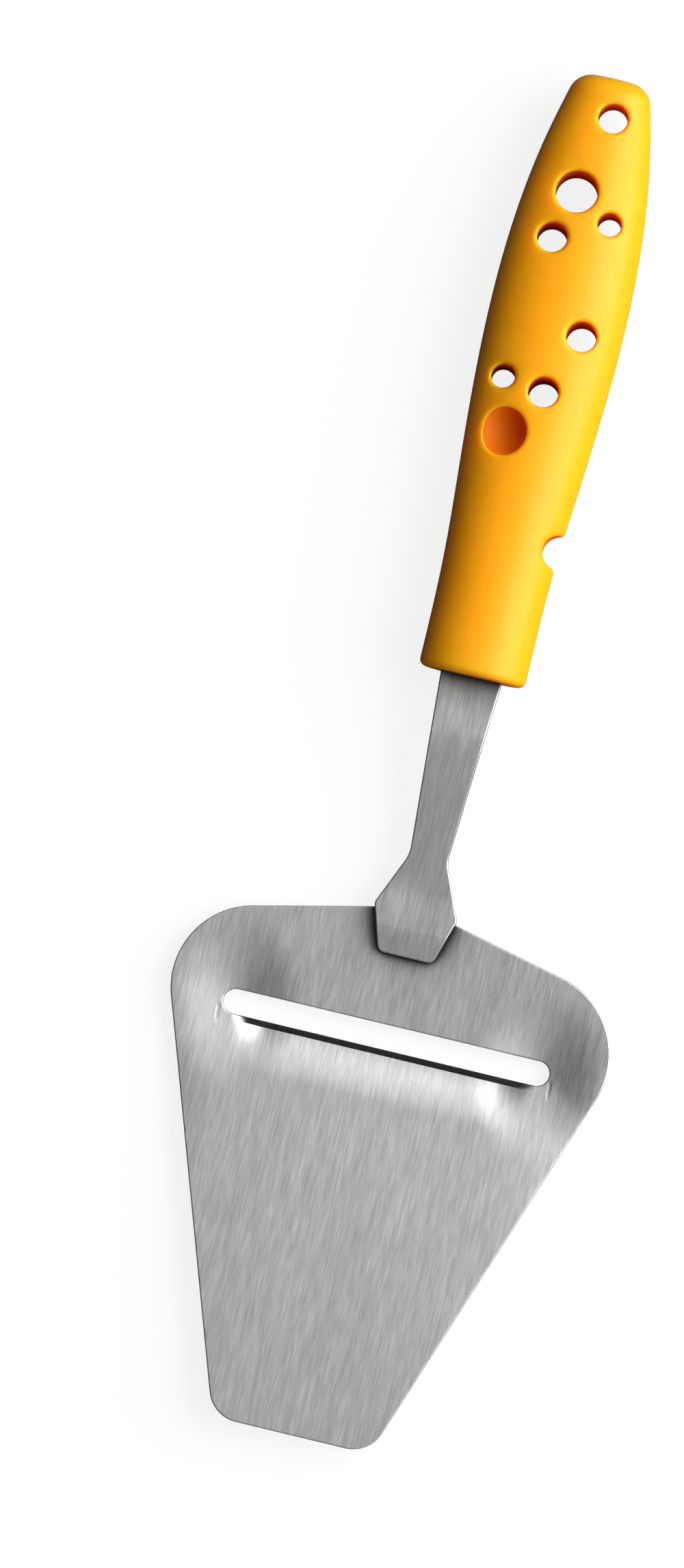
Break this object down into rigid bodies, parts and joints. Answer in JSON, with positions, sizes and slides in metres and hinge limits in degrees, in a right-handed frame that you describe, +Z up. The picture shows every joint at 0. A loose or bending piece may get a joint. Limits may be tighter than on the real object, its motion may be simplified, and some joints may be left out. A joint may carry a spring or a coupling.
{
  "type": "cheese slicer",
  "caption": "Hand-held cheese slicer with a flat tapered steel blade with a pressed cutting slot, a welded steel neck and an oval yellow plastic handle with round holes.",
  "frame": {"origin": "on the table under the tool, at the middle of its length and on the line of symmetry of blade and neck", "axes": "+Y along the tool from the tip of the blade to the butt of the handle, +Z up, away from the table and out of the blade's top face, +X to the right with the butt away from the viewer"},
  "size_m": [0.0785, 0.2442, 0.0152],
  "materials": {
    "blade_steel": "stainless sheet, brushed along the tool",
    "neck_steel": "stainless bar, brushed along the tool, edges softened",
    "handle_plastic": "smooth satin moulded plastic, warm cheese yellow"
  },
  "bodies": {
    "root": {"blade": "blade_steel", "neck": "neck_steel", "handle": "handle_plastic"}
  },
  "joints": []
}
